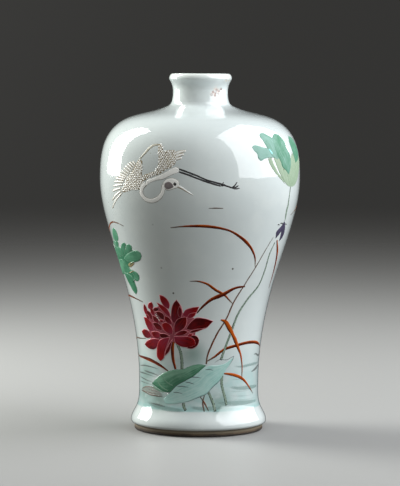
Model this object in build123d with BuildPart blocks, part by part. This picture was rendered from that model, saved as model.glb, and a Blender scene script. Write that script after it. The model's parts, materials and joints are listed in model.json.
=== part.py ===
from build123d import *
import os

# Driving dimensions in millimetres. A height or a depth runs up from the surface that the vase
# stands on, and a drop runs down from the edge of its mouth.
overall_height = 300.0

# Mouth and neck, thrown in one
lip_overhang = 3.3
lip_width = 5.4
lip_crest_drop = 3.9
lip_tail_overhang = 2.3
lip_tail_drop = 6.5
neck_diameter = 46.2
neck_wall = 4.1
neck_waist_drop = 14.6
throat_drop = 10.0
throat_length = 12.0

# Root of the neck, where it runs out over the shoulder
root_spread = 4.0
root_drop = 27.0
root_lean = 63.4

# Shoulder and body, whose wall is drawn thinner as it rises
shoulder_diameter = 168.6
shoulder_drop = 87.0
shoulder_wall = 4.4
dome_wall_shares = (1, 0.8, 0.6, 0.4, 0.2)
dome_radius_shares = (0.1375, 0.308)
dome_height_shares = (0.6175, 0.777)
waist_diameter = 100.9
waist_height = 41.0
waist_wall = 5.2
swell_wall_shares = (1, 0.75, 0.5, 0.25, 0)
swell_radius_shares = (0.104, 0.384, 0.775)
swell_height_shares = (0.25, 0.5, 0.75)

# Flared foot, whose glaze stops at a margin just above the bare rim
foot_spread = 6.85
foot_crest_height = 7.8
foot_margin_height = 5.4
foot_margin_tuck = 1.8
flare_radius_shares = (0.659,)
flare_height_shares = (0.344,)

# Base plate, let into the foot from below, and the bare rim that closes it in
base_depth = 8.0
base_thickness = 5.2
base_lap = 4.6
base_dome_rise = 0.9
rim_setback = 1.3
rim_bore_flare = 1.3
rim_rounding = 1.1

# Slip: the sections were thrown apart and luted, and each seam was closed over outside
slip_thickness = 0.4
slip_cover = 1.2
slip_bead_radius = 1.4
neck_seam_drop = 23.6
body_seam_height = 132.0
foot_seam_height = 24.6

os.makedirs("parts", exist_ok=True)

# Radii and heights that follow from the sizes above
neck_radius = neck_diameter / 2
lip_radius = neck_radius + lip_overhang
mouth_radius = lip_radius - lip_width
throat_radius = neck_radius - neck_wall
root_radius = neck_radius + root_spread
root_height = overall_height - root_drop
shoulder_radius = shoulder_diameter / 2
shoulder_height = overall_height - shoulder_drop
waist_radius = waist_diameter / 2
foot_radius = waist_radius + foot_spread
foot_margin_radius = foot_radius - foot_margin_tuck
bore_radius = waist_radius - waist_wall
neck_seam_height = overall_height - neck_seam_drop
base_top_height = base_depth + base_thickness
seat_height = base_top_height + slip_thickness
seat_radius = bore_radius + base_lap
base_radius = seat_radius - slip_thickness
rim_radius = foot_margin_radius - rim_setback
tongue_height = base_depth - slip_thickness

upward = (0, 1)
downward = (0, -1)
outward = (1, 0)
root_direction = Vector(*upward).rotate(Axis.Z, root_lean)


def part_way(start, end, radius_shares, height_shares):
    """Points on the way from start to end, at shares of the change in radius and in height."""
    return [
        (start.X + (end.X - start.X) * radius, start.Y + (end.Y - start.Y) * height)
        for radius, height in zip(radius_shares, height_shares)
    ]


def curve_through(*points, start, end):
    """A curve that leaves and arrives in the given directions, at an even pace."""
    return Spline(*points, tangents=(start, end), tangent_scalars=(1, 1))


def within(outline, share, wall):
    """The point one wall's thickness inside an outline that runs upward."""
    along = outline % share
    return outline @ share - wall * Vector(along.Y, -along.X)


# Section through the thrown wall: up the outside, over the lip and down the inside
foot_crest = Vector(foot_radius, foot_crest_height)
waist = Vector(waist_radius, waist_height)
shoulder_crest = Vector(shoulder_radius, shoulder_height)
root = Vector(root_radius, root_height)
neck_waist = Vector(neck_radius, overall_height - neck_waist_drop)
lip_crest = Vector(lip_radius, overall_height - lip_crest_drop)

with BuildSketch() as wall_section:
    with BuildLine():
        curve_through(
            foot_crest,
            *part_way(foot_crest, waist, flare_radius_shares, flare_height_shares),
            waist,
            start=upward,
            end=upward,
        )
        swell = curve_through(
            waist,
            *part_way(waist, shoulder_crest, swell_radius_shares, swell_height_shares),
            shoulder_crest,
            start=upward,
            end=upward,
        )
        dome = curve_through(
            shoulder_crest,
            *part_way(shoulder_crest, root, dome_radius_shares, dome_height_shares),
            root,
            start=upward,
            end=root_direction,
        )
        curve_through(root, neck_waist, start=root_direction, end=upward)
        curve_through(
            neck_waist,
            (neck_radius + lip_tail_overhang, overall_height - lip_tail_drop),
            lip_crest,
            start=upward,
            end=upward,
        )
        lip_top = curve_through(
            lip_crest,
            ((lip_radius + mouth_radius) / 2, overall_height),
            (mouth_radius, lip_crest.Y),
            start=upward,
            end=downward,
        )
        mouth_flare = curve_through(
            lip_top @ 1,
            (throat_radius, overall_height - throat_drop),
            start=downward,
            end=downward,
        )
        throat = Line(mouth_flare @ 1, mouth_flare @ 1 - (0, throat_length))
        hollow = curve_through(
            throat @ 1,
            *(within(dome, share, shoulder_wall) for share in dome_wall_shares),
            *(
                within(swell, share, waist_wall + (shoulder_wall - waist_wall) * share)
                for share in swell_wall_shares
            ),
            start=downward,
            end=downward,
        )
        Polyline(
            hollow @ 1,
            (bore_radius, seat_height),
            (seat_radius, seat_height),
            (seat_radius, foot_margin_height),
            (foot_margin_radius, foot_margin_height),
        )
        TangentArc(foot_crest, (foot_margin_radius, foot_margin_height), tangent=downward)
    make_face()

section_width = 2 * wall_section.sketch.bounding_box().max.X


def wall_between(low, high):
    """The part of the wall's section between two heights."""
    with BuildSketch() as section:
        add(wall_section.sketch)
        with Locations((0, low)):
            Rectangle(section_width, high - low, align=(Align.CENTER, Align.MIN), mode=Mode.INTERSECT)
    return section.sketch


def slip_at(height):
    """Section of the slip under a seam: a washer inside the cover, and a bead in the hollow."""
    washer = wall_between(height - slip_thickness, height)
    inner, *_, outer = sorted(corner.X for corner in washer.vertices())
    with BuildSketch() as bead:
        with Locations((inner, height - slip_thickness / 2)):
            Circle(slip_bead_radius)
        add(wall_section.sketch, mode=Mode.SUBTRACT)
    with BuildSketch() as section:
        add(washer)
        with Locations((outer - slip_cover, height)):
            Rectangle(section_width, slip_thickness, align=(Align.MAX, Align.MAX), mode=Mode.INTERSECT)
        add(bead.sketch)
    return section.sketch


neck_slip_section = slip_at(neck_seam_height)
body_slip_section = slip_at(body_seam_height)
foot_slip_section = slip_at(foot_seam_height)

# Neck with its rolled lip and its straight throat
with BuildPart() as neck:
    with BuildSketch(Plane.XZ):
        add(wall_between(neck_seam_height, overall_height))
    revolve(axis=Axis.Z)
neck.part.label = "neck"
export_step(neck.part, "parts/neck.step")

# Shoulder and the upper half of the body, with the seat for the neck
with BuildPart() as shoulder:
    with BuildSketch(Plane.XZ):
        add(wall_between(body_seam_height, neck_seam_height))
        add(neck_slip_section, mode=Mode.SUBTRACT)
    revolve(axis=Axis.Z)
shoulder.part.label = "shoulder"
export_step(shoulder.part, "parts/shoulder.step")

# Lower half of the body, tapering to the waist
with BuildPart() as lower_body:
    with BuildSketch(Plane.XZ):
        add(wall_between(foot_seam_height, body_seam_height))
        add(body_slip_section, mode=Mode.SUBTRACT)
    revolve(axis=Axis.Z)
lower_body.part.label = "lower_body"
export_step(lower_body.part, "parts/lower_body.step")

# Flared foot, rebated underneath for the base plate
with BuildPart() as foot:
    with BuildSketch(Plane.XZ):
        add(wall_between(foot_margin_height, foot_seam_height))
        add(foot_slip_section, mode=Mode.SUBTRACT)
    revolve(axis=Axis.Z)
foot.part.label = "foot"
export_step(foot.part, "parts/foot.step")

# Base plate, a shallow dome with a flat edge that is held in the rebate
with BuildSketch() as base_section:
    with BuildLine():
        TangentArc((0, base_depth + base_dome_rise), (bore_radius, base_depth), tangent=outward)
        Polyline(
            (bore_radius, base_depth),
            (base_radius, base_depth),
            (base_radius, base_top_height),
            (bore_radius, base_top_height),
        )
        TangentArc((0, base_top_height + base_dome_rise), (bore_radius, base_top_height), tangent=outward)
        Line((0, base_depth + base_dome_rise), (0, base_top_height + base_dome_rise))
    make_face()

with BuildPart() as base:
    with BuildSketch(Plane.XZ):
        add(base_section.sketch)
    revolve(axis=Axis.Z)
base.part.label = "base"
export_step(base.part, "parts/base.step")

# Bare foot rim, with a tongue that reaches up inside the foot and carries the base plate
with BuildSketch() as rim_section:
    with BuildLine():
        Polyline(
            (bore_radius + rim_bore_flare, 0),
            (rim_radius, 0),
            (rim_radius, foot_margin_height),
            (base_radius, foot_margin_height),
            (base_radius, tongue_height),
            (bore_radius, tongue_height),
            (bore_radius, foot_margin_height),
            close=True,
        )
    make_face()
    fillet(rim_section.vertices().group_by(Axis.Y)[0], rim_rounding)

with BuildPart() as foot_rim:
    with BuildSketch(Plane.XZ):
        add(rim_section.sketch)
    revolve(axis=Axis.Z)
foot_rim.part.label = "foot_rim"
export_step(foot_rim.part, "parts/foot_rim.step")

# Slip that fills the rebate over, round and under the edge of the base plate
with BuildPart() as base_slip:
    with BuildSketch(Plane.XZ):
        with Locations((bore_radius, foot_margin_height)):
            Rectangle(base_lap, seat_height - foot_margin_height, align=Align.MIN)
        add(base_section.sketch, mode=Mode.SUBTRACT)
        add(rim_section.sketch, mode=Mode.SUBTRACT)
    revolve(axis=Axis.Z)
base_slip.part.label = "base_slip"
export_step(base_slip.part, "parts/base_slip.step")

# Slip in the three seams of the wall
seam_slips = {
    "neck_slip": neck_slip_section,
    "body_slip": body_slip_section,
    "foot_slip": foot_slip_section,
}
for name, section in seam_slips.items():
    with BuildPart() as slip:
        with BuildSketch(Plane.XZ):
            add(section)
        revolve(axis=Axis.Z)
    slip.part.label = name
    export_step(slip.part, f"parts/{name}.step")
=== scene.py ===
import json
import math

import bmesh
import bpy
import numpy as np
from bpy.props import FloatProperty, FloatVectorProperty, PointerProperty
from mathutils import Matrix, Vector


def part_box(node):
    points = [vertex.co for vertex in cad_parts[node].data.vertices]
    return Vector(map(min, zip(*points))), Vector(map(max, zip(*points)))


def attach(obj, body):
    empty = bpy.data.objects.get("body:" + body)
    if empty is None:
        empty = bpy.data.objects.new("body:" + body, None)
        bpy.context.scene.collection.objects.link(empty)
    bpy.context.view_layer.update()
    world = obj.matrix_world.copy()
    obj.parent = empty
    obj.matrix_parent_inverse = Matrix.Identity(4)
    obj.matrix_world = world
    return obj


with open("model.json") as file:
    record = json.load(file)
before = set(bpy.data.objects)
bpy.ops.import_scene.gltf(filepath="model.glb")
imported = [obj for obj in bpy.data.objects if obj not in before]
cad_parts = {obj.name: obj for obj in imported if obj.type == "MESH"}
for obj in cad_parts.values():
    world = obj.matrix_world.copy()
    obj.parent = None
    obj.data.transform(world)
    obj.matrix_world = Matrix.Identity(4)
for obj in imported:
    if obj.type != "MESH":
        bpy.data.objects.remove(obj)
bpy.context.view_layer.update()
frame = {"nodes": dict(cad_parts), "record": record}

bl_info = {
    "name": "Painted Meiping Vase",
    "version": (1, 0, 0),
    "blender": (4, 5, 0),
    "location": "View3D > Sidebar > Vase",
    "description": "Glazes the vase and paints its crane, lotus and reeds in raised enamels",
    "category": "Object",
}

MM = 0.001
MILLIMETRES = 1000
PHOTO_WIDTH = 400
PHOTO_HEIGHT = 486
SENSOR_WIDTH = 36
BODY = "root"

# The wall, from the foot up, how finely its outline is read, and where on a line of sight it is looked for:
# from a lead in front of the axis and over a reach, both in its widest radii
WALL_NODES = ("foot", "lower_body", "shoulder", "neck")
OUTLINE_STEP = 0.5 * MM
OUTLINE_BLUR = 5
SIGHT_STEPS = 500
SIGHT_LEAD = 1.1
SIGHT_REACH = 1.2

# Softboxes: the height of their lower edge, and of each, where it stands, in degrees round from the front
# and metres from the axis, the bearing it shines from, its lean, its size and its daylight
SOFTBOX_HEIGHT = 0.19
SOFTBOXES = {
    "softbox_left": (-115, 0.88, -90, 0, (0.5, 1.16), (0.98, 1.0, 0.96)),
    "softbox_right": (84, 1.0, 84, 15, (1.7, 1.7), (0.955, 0.975, 1.0)),
}
ROOM_TINT = (1.0, 0.99, 0.94)

# The floor, which is whole over a share of its radius and then fades
FLOOR_COLOUR = (0.25, 0.25, 0.246, 1)
FLOOR_ROUGHNESS = 0.55
FLOOR_WHOLE = 0.2
FLOOR_SIDES = 96

# Reflection of the glaze, of the enamels on it, from glassy to satin, and of what is bare
GLOSS = {"IOR": 1.5, "Specular IOR Level": 0.1, "Coat Weight": 1.0, "Coat IOR": 1.5, "Coat Roughness": 0.03}
ENAMEL_GLOSS = {
    "IOR": 1.5, "Specular IOR Level": 0.5, "Coat Weight": 0.25, "Coat IOR": 1.5, "Coat Roughness": 0.06,
}
SATIN_GLOSS = {"IOR": 1.45, "Specular IOR Level": 0.3}
PETAL_GLOSS = {
    "IOR": 1.45, "Specular IOR Level": 0.12, "Coat Weight": 0.03, "Coat IOR": 1.5, "Coat Roughness": 0.1,
}
MATT = {"IOR": 1.45}

# Bands of the glaze by the height in mm: where each begins, is full, is still full and ends
NECK_ROOT_BAND = (265, 274, 276, 281)
UNDER_LIP_BAND = (288, 291.5, 293, 295)
# On the high shoulder the glaze is darkened as painted shade
SHOULDER_SHADE_BAND = (240, 266, 270, 276)
WATER_BAND = (20.2, 21.8, 42, 84)
WAIST_BAND = (20.2, 21.2, 21.6, 26)

# Heights in mm between which the glaze thins, at the lip and at the foot's margin
THIN_EDGES = ((295.5, 299), (7, 5.6))

# Bands of the bare rim, as (the heights in mm over which a colour comes in, the colour): a paler tan, a dark
# line under the glaze's edge, and painted contact shadow darkening it towards the floor
RIM_BANDS = (((2.6, 3.4), (124, 114, 96)), ((5.0, 5.4), (40, 32, 26)), ((2.4, 1.2), (30, 24, 20)))

# A stroke of enamel has a point about every STROKE_STEP of its length and COLUMN_STEP of its width
STROKE_STEP = 1.1 * MM
COLUMN_STEP = 1.6 * MM
LEAST_POINTS = 5
LEAST_COLUMNS = 4
MOST_COLUMNS = 26

# It is laid STROKE_SPREAD mm wider than its widths say, to make up for its rounded rims. A rim takes at
# most RIM_SHARE of the width, and the middle crowns by CROWN of the rise where it is CROWN_RIMS rims wide.
STROKE_SPREAD = 0.5
RIM_SHARE = 0.3
CROWN = 0.35
CROWN_RIMS = 4
LEAST_WIDTH = 1e-9
WELD = 1e-7

# Values that an enamel's mesh carries for its material
MARKS = ("along", "across", "edge", "tone", "breadth")

# The small feathers, in shares of their pitch: the widths along one, how far they fill it, the step from
# row to row and how far a feather strays. Place and tone follow waves from one feather to the next.
FEATHER_WIDTHS = (0.45, 0.9, 1.0, 0.75, 0.1)
FEATHER_FILL = 0.9
FEATHER_ROWS = 0.8
FEATHER_STRAY = 0.08
FEATHER_WAVES = (2.1, 3.7)
TONE_WAVE = 2.4

# Sockets of a Mix node for colours, two in and one out
MIX_FIRST = 6
MIX_SECOND = 7
MIX_COLOUR = 2

# What keeps the tones of neighbours apart, and how far a petal is grown under its line
GOLDEN_SHARE = 0.618
PETAL_GROWTH = 0.6 * MM

# The enamels, as (slot, brushwork). A colour is a setting's name, or one on the screen's scale of 0 to 255.
ENAMELS = {
    "iron_red": ("enamel_red", dict(
        thin="iron", full="rust", streaks=5, gloss=0.4, shine=PETAL_GLOSS, slant=0.7, wispy=(92, 72, 50))),
    "grey_green": ("enamel_green", dict(
        thin="stalk", full=(104, 124, 108), hairs=(34, 38, 30), streaks=4, gloss=0.3, shine=SATIN_GLOSS)),
    "rose_ground": ("enamel_rose", dict(thin=(156, 84, 92), full="rose", gloss=0.35, shine=SATIN_GLOSS)),
    "crimson": ("enamel_rose", dict(
        thin=(146, 14, 18), full="crimson", line="petal_line", line_width=0.62, root="rose", streaks=9,
        gloss=0.35, shine=PETAL_GLOSS)),
    "stamen_white": ("enamel_white", dict(thin=(206, 196, 190), full="white")),
    "stamen_black": ("enamel_black", dict(thin="ink", full="ink")),
    "leaf_green": ("enamel_green", dict(
        thin=(112, 160, 134), full="green", line=(40, 84, 66), line_width=0.35, streaks=8, slant=0.5)),
    "turquoise": ("enamel_turquoise", dict(thin=(176, 208, 202), full="turquoise", streaks=18)),
    "pale_line": ("enamel_yellow", dict(
        thin=(150, 190, 164), full=(104, 156, 128), veil=0.7, soft=0.5, shine=SATIN_GLOSS)),
    "grey_purple": ("enamel_purple", dict(thin=(110, 120, 122), full=(78, 88, 94), veil=0.9, soft=0.35)),
    "pale_green": ("enamel_yellow", dict(
        thin=(140, 158, 136), full="pale", line=(88, 108, 82), line_width=0.32, streaks=12, gloss=0.5,
        shine=SATIN_GLOSS, veil=1.6, soft=0.15, ends=(0.25, 0.001))),
    "mint": ("enamel_green", dict(
        thin=(122, 158, 148), full="mint", line=(58, 126, 104), line_width=0.4, gloss=0.5,
        shine=SATIN_GLOSS)),
    # A painted highlight on the furled leaf
    "bright_turquoise": ("enamel_turquoise", dict(thin=(120, 196, 190), full=(80, 168, 160))),
    "purple": ("enamel_purple", dict(
        thin=(78, 72, 98), full="purple", line=(26, 22, 32), line_width=0.22, streaks=8, gloss=0.4,
        shine=SATIN_GLOSS)),
    "hair": ("enamel_black", dict(thin=(52, 46, 50), full="ink")),
    "deep_leaf": ("enamel_green", dict(
        thin=(92, 150, 120), full="green", line=(136, 172, 150), line_width=0.7, gloss=0.35,
        shine=SATIN_GLOSS)),
    "withered": ("enamel_yellow", dict(thin=(178, 176, 132), full=(122, 84, 52))),
    "crane_white": ("enamel_white", dict(thin=(226, 228, 224), full="white", gloss=0.3)),
    "crane_outline": ("enamel_purple", dict(
        thin=(148, 146, 134), full=(122, 120, 108), gloss=0.4, shine=SATIN_GLOSS)),
    "feather_line": ("enamel_yellow", dict(
        thin=(168, 154, 122), full="feather_line", gloss=0.4, shine=SATIN_GLOSS)),
    "ink": ("enamel_black", dict(thin=(40, 38, 40), full="ink", gloss=0.3)),
    "cheek": ("enamel_purple", dict(thin=(132, 122, 122), full=(96, 88, 90))),
    "wing_bone": ("enamel_yellow", dict(
        thin=(204, 204, 192), full=(186, 182, 166), line=(146, 142, 108), line_width=0.35,
        hairs="feather_line")),
    "grey_leaf": ("enamel_purple", dict(
        thin=(168, 170, 162), full=(140, 138, 132), veil=0.6, soft=0.5, shine=SATIN_GLOSS)),
    "umber_line": ("enamel_purple", dict(thin=(120, 104, 92), full=(80, 74, 66), veil=1.2, soft=0.3)),
    "grey_wash": ("enamel_purple", dict(
        thin=(126, 132, 128), full=(84, 90, 88), veil=0.75, soft=0.8, shine=SATIN_GLOSS)),
    "blue_wash": ("enamel_turquoise", dict(
        thin=(140, 168, 162), full=(110, 140, 134), veil=0.5, soft=1.4)),
}

# Places on the photograph, in its pixels across and down, of what the painter drew.
# A reed is (how dark it is, widths in mm along it, its course).
REEDS = {
    "reed_over_middle": (
        0.75, (0.5, 0.9, 1.9, 2.4, 1.9, 1.5, 1.9, 2.5, 1.8, 1.2, 0.4),
        ((170, 227.9), (181.6, 226.6), (193, 226.1), (204, 226.2), (218, 227.9), (229.7, 230.8),
         (239.6, 236.6), (247.9, 244), (252.9, 251.5), (255, 258.1), (255, 267.3)),
    ),
    "reed_right_hanging": (
        0.7, (1.4, 2.8, 2.6, 1.6, 0.5),
        ((276.9, 239.9), (276.9, 255.7), (273.6, 271.4), (268.6, 288.8)),
    ),
    "reed_long_stalk": (
        0.75, (0.4, 0.6, 0.7, 0.8, 0.9, 0.9, 1.1, 0.8),
        ((273.6, 236.6), (266.2, 249), (256.2, 266.4), (244.6, 284.7), (233, 303.7), (226.4, 318.7),
         (217, 334), (211, 346.5), (207.4, 356), (206.2, 364.5)),
    ),
    "reed_middle_short": (
        0.5, (0.3, 1.2, 1.9, 1.9, 1.2, 0.4),
        ((189, 281.4), (198.2, 281.4), (206.5, 283.8), (216.4, 290.5), (223.9, 294.6), (228.8, 299.6),
         (232.6, 303.7)),
    ),
    "reed_from_lotus": (
        1.0, (0.6, 1.4, 2.2, 3.2, 2.5, 1.8, 1.1),
        ((196.5, 313.7), (202.3, 307.1), (211.4, 299.6), (223, 294.6), (235.5, 288), (245.4, 286.3)),
    ),
    "reed_bending_down": (
        0.25, (0.8, 3.2, 3.7, 2.5, 3.0, 2.6, 1.6, 1.3, 1.1, 0.9, 0.5),
        ((220.5, 320), (224.8, 321.2), (228.4, 326.6), (232.2, 333.4), (237.3, 345.7), (241, 356.5),
         (242, 366), (241.8, 379)),
    ),
    "reed_low_arch": (
        0.85, (0.6, 1.7, 2.2, 2.2, 2.4, 2.2, 0.7, 0.5, 0.4, 0.2),
        ((207, 361.4), (214.3, 357), (223.7, 349.8), (236.6, 345.4), (250, 342.2), (257, 342.7),
         (259.8, 346.3)),
    ),
    "reed_right_low": (
        0.3, (0.9, 2.1, 2.3, 1.6, 1.2, 0.4),
        ((223.4, 373.4), (234.4, 375.1), (242.4, 378.7), (249, 386.8), (252.9, 393.5)),
    ),
    "reed_left_low": (
        0.9, (0.6, 2.2, 2.8, 1.7, 0.8, 0.6, 0.4, 0.2),
        ((169, 371.6), (160.5, 365.6), (152.4, 360.9), (145.5, 358), (139.6, 355.6)),
    ),
    "reed_left_tip": (
        0.75, (0.5, 1.2, 1.4, 1.6, 1.9, 1.7, 1.2, 0.5),
        ((143, 302), (135, 298), (129.2, 295.4)),
    ),
    "reed_left_wisp": (
        0.75, (0.3, 0.7, 0.7, 1.0, 1.2, 0.5),
        ((146, 338.3), (141, 338.2), (137.2, 337.4)),
    ),
    "reed_left_hook": (
        0.5, (0.3, 1.0, 1.3, 1.3, 1.6, 1.5, 1.1, 0.4),
        ((124, 226.2), (117.5, 223), (113.2, 221.9), (110.4, 223.4), (109.4, 226.6)),
    ),
    "reed_right_tip": (
        0.75, (0.3, 0.8, 1.3, 1.7, 1.8, 1.4, 0.5),
        ((290.3, 215.2), (293.3, 212), (295.4, 209)),
    ),
    "reed_root_left": (0.75, (0.4, 0.9, 0.6), ((199.9, 396.4), (203.5, 401.5), (208.7, 411))),
    "reed_root_right": (0.75, (0.4, 0.9, 0.6), ((204.4, 395.2), (202.8, 402.2), (204.3, 411.8))),
    "reed_dash": (0.75, (0.3, 0.7, 0.5), ((208, 208.4), (216, 208.2), (223.6, 208.4))),
    "flower_stem_red": (
        0.75, (2.4, 2.6, 2.3, 1.4),
        ((172.9, 341.2), (172.4, 350), (173, 359), (175.6, 369.5)),
    ),
}

# How some of the reeds go on where the photograph no longer shows them, as points of (degrees round, mm up)
REED_ENDS = {
    "reed_left_low": ((-92, 64), (-106, 65.5), (-118, 65)),
    "reed_left_tip": ((-94, 111), (-107, 105), (-117, 93), (-123, 76), (-126, 58)),
    "reed_left_wisp": ((-93, 75), (-105, 68), (-113, 56)),
    "reed_left_hook": ((-91, 166), (-105, 150), (-114, 128), (-119, 104)),
    "reed_low_arch": ((89, 64), (96, 54), (100, 43)),
    "reed_right_tip": ((92, 190), (104, 188), (114, 179), (121, 164)),
}

# Stalks in grey green with dark hairs, as (widths, course)
STALKS = {
    "stalk_bud": (
        (0.9, 1.3, 1.4, 1.4, 1.6, 1.6, 1.7),
        ((275.3, 241.6), (270.3, 252.3), (264.5, 271.4), (259.5, 283.8), (247.9, 298.8), (239.6, 311.2),
         (230, 335), (220.7, 360.4)),
    ),
    "stalk_lotus": ((1.8, 2.1, 2.2, 2.3), ((176.5, 343), (180, 350.2), (181.6, 358), (182, 369.5))),
    "stalk_leaf_stub": ((2.4, 2.1, 1.8), ((183.2, 403), (184.2, 407.4), (185.8, 410.6))),
    "stalk_leaf_middle": (
        (1.8, 1.9, 2.0, 1.8),
        ((208.1, 391.5), (211.3, 398.5), (213.6, 404.8), (215.2, 411.5)),
    ),
    "stalk_leaf_right": (
        (1.8, 1.9, 2.0, 1.9, 1.6),
        ((222.3, 374.5), (221.6, 383.2), (223.1, 390.8), (225.4, 399.7), (226.5, 405.5)),
    ),
    "stalk_furled_leaf": (
        (0.9, 1.0, 1.3, 2.5, 2.3, 0.9),
        ((290.7, 184.8), (289.2, 196.8), (287.8, 206.4), (286.6, 211), (285.8, 216), (284.8, 221.4)),
    ),
}

# Petals of the lotus, each an outline from its tip, from the back row to the front row, then the rose
# ground under them and the stamens with their marks
LOTUS_ROWS = {
    "lotus_back_petals": (
        ((159.6, 295.2), (163.6, 296.6), (167.3, 300.2), (169.3, 304.4), (168.6, 308.6), (164.6, 306.4),
         (161.2, 301.4)),
        ((176.4, 300.2), (179.6, 304.4), (181.9, 310.4), (181.6, 315.6), (178.4, 320), (174.6, 322.6),
         (172, 320), (171.6, 312), (173.2, 304.4)),
        ((198.9, 306.8), (195.6, 312.8), (191.2, 316.2), (185.6, 317), (183.2, 314.6), (185.4, 310.6),
         (191.2, 308.2)),
        ((212.9, 321.2), (209, 325.2), (206.4, 327.6), (197.6, 328.8), (191.2, 330), (186.6, 328.6),
         (189.6, 323.8), (196.8, 318.2), (204, 318.8)),
        ((143.9, 304.2), (145.8, 306.6), (147.1, 310.6), (147, 315.4), (144.9, 312.6), (143.8, 308.6)),
        ((151.2, 302.2), (152.5, 304.4), (152.6, 307.6), (150.2, 309), (148.3, 307.4), (148.6, 304.2)),
        ((147, 310.2), (149.8, 312.4), (152, 316.4), (151.8, 319.6), (149, 317), (147.2, 313.8)),
        ((150.2, 308.6), (152.7, 309.4), (154.2, 313), (153.6, 315.6), (151.2, 312.8)),
        ((152.9, 309.8), (155.2, 307.7), (158.6, 308.2), (157.8, 310.3), (154.6, 311)),
        ((146, 313.6), (148.8, 316.2), (149.8, 319.6), (147.2, 318)),
        ((143.8, 317), (147.8, 318.6), (150.8, 322), (153.6, 329.4), (149.6, 330.2), (146.8, 325.6)),
    ),
    "lotus_middle_petals": (
        ((156.7, 302.6), (161.6, 305), (166.4, 308.6), (169.6, 313.4), (170, 317.4), (165.6, 314),
         (160.6, 308.6)),
        ((179.9, 305.6), (181.9, 310.6), (181.4, 316.4), (179.2, 316.2), (178.2, 311.6)),
        ((196.4, 312.4), (194.2, 315.8), (190.4, 318), (187.4, 317.4), (189.6, 314.2)),
        ((155.6, 311.9), (160, 312), (163.2, 314), (163.9, 319.2), (160.8, 318.2), (157.8, 315)),
        ((152.8, 315.6), (155.8, 317), (158.8, 321), (157.8, 322.8), (154, 320.6)),
        ((158.8, 320.2), (161.4, 319.8), (164, 321), (161.8, 322.2)),
        ((152.9, 322.6), (158.2, 323.6), (161.6, 327.4), (161.4, 330.2), (156.4, 328.4)),
        ((165.4, 316), (169.2, 318.2), (171.8, 322.4), (171.4, 324.4), (167.6, 322.8), (165.2, 319.8)),
        ((206.8, 327.2), (199.6, 330.6), (192.8, 332.8), (188.4, 332.6), (193.4, 329.8), (200.2, 328.6)),
        ((141.9, 331.4), (144.8, 329.4), (148.8, 331.4), (151.2, 335.6), (149.2, 337.4), (144.6, 336.2)),
    ),
    "lotus_front_petals": (
        ((162.4, 324.2), (166.2, 322.8), (170, 324.8), (172.4, 329.4), (172.2, 334), (167.4, 332.6),
         (163.4, 328.6)),
        ((186.2, 317.3), (186.6, 322.2), (184.2, 327.6), (179.6, 331), (174.6, 332.8), (174.4, 326.4),
         (177, 320.4), (181.4, 317.8)),
        ((151.6, 332), (156.2, 331.6), (160.4, 333.6), (161, 336), (157.6, 338), (153.6, 336.4)),
        ((159.6, 333.2), (165.4, 334), (170, 336), (165.4, 337.4), (160.8, 336.8)),
        ((144.9, 344.2), (148, 340.6), (153.2, 338.8), (159.6, 339.2), (158.2, 344.6), (154.2, 348.6),
         (148.6, 347.8)),
        ((160.6, 360.6), (157.4, 356.6), (157.2, 349.6), (159, 341.6), (164.6, 338.2), (170, 338),
         (167.4, 345), (164.6, 352.6), (163.8, 357.6)),
        ((164.6, 356), (165.8, 350.6), (169, 344.4), (172.6, 338.6), (171.2, 345.4), (169, 351.4)),
        ((195.4, 344.6), (189.8, 346.6), (181.6, 346.2), (175.8, 342.6), (174.4, 336.6), (181, 336.8),
         (187.8, 336.8), (193.4, 338.8)),
        ((198.6, 340.6), (197.2, 345), (192.6, 348.2), (187.2, 348), (189.4, 343.6), (188.8, 338.2),
         (192.4, 335.6), (196.8, 336.8)),
        ((188.4, 331.6), (184.2, 334.4), (179.4, 335.6), (174.8, 334.8), (178.6, 332), (184, 330.4)),
        ((193, 334), (190.8, 336.4), (187.6, 336.6), (189, 334.2)),
    ),
}
LOTUS_GROUND = (
    (151.6, 309.6), (156.6, 307), (161, 305.6), (166, 307.4), (171, 316), (178, 312), (184, 313),
    (190, 316), (196, 320), (196, 327), (195, 336), (188, 345), (176, 343), (168, 348), (161, 350),
    (154, 344), (150, 337), (149, 325), (149, 315),
)
STAMENS = (
    ((155.4, 314.6), (157.4, 316.4)),
    ((156.8, 316.8), (158.6, 318.9)),
    ((158.4, 319.4), (160.3, 321.4)),
)
STAMEN_MARKS = (((155.8, 313.6), (158, 315.8)), ((157.4, 315.4), (159.6, 318.2)))

# The leaf lying low on the left of the middle: two edges each for its folded back and its face, and the
# courses of the pale lines, the veins and the dark lines on them
LOW_LEAF_BACK = (
    ((151.7, 383.2), (157.1, 377.7), (164.1, 372.4), (174.3, 369.6), (183.3, 369), (189.6, 366.1),
     (199.2, 364.2), (206.5, 365.3)),
    ((151.7, 383.2), (154.6, 385.7), (159.7, 389.5), (166, 392.4), (170.5, 392.4), (175.6, 387),
     (183.3, 381.8), (192.2, 377.2), (199.2, 371.8), (206.5, 365.3)),
)
LOW_LEAF_FACE = (
    ((163.5, 398.8), (170.5, 392.2), (176.9, 385.7), (185.8, 380.6), (196, 374.7), (202.4, 368.6),
     (208.8, 365.9), (218.3, 365.2), (224.7, 363.7), (229.8, 360.2), (233.8, 356.7)),
    ((163.5, 398.8), (165.4, 403.1), (172.4, 404.2), (180.7, 403.1), (189.6, 401.1), (198.6, 397.3),
     (206.2, 394.1), (212, 387.6), (219, 381.2), (223.1, 375.5), (225.4, 370.4), (229.2, 365.3),
     (233.8, 356.7)),
)
LOW_LEAF_PALE_LINES = (
    ((156.8, 378.1), (158.7, 383.2), (163.5, 388.3), (170.5, 391.5)),
    ((151.4, 383.5), (155.2, 387.6), (160.3, 390.8), (165.4, 392.6)),
    ((161, 374.6), (164.4, 379.6), (169.6, 384), (175.2, 386.4)),
)
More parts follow.
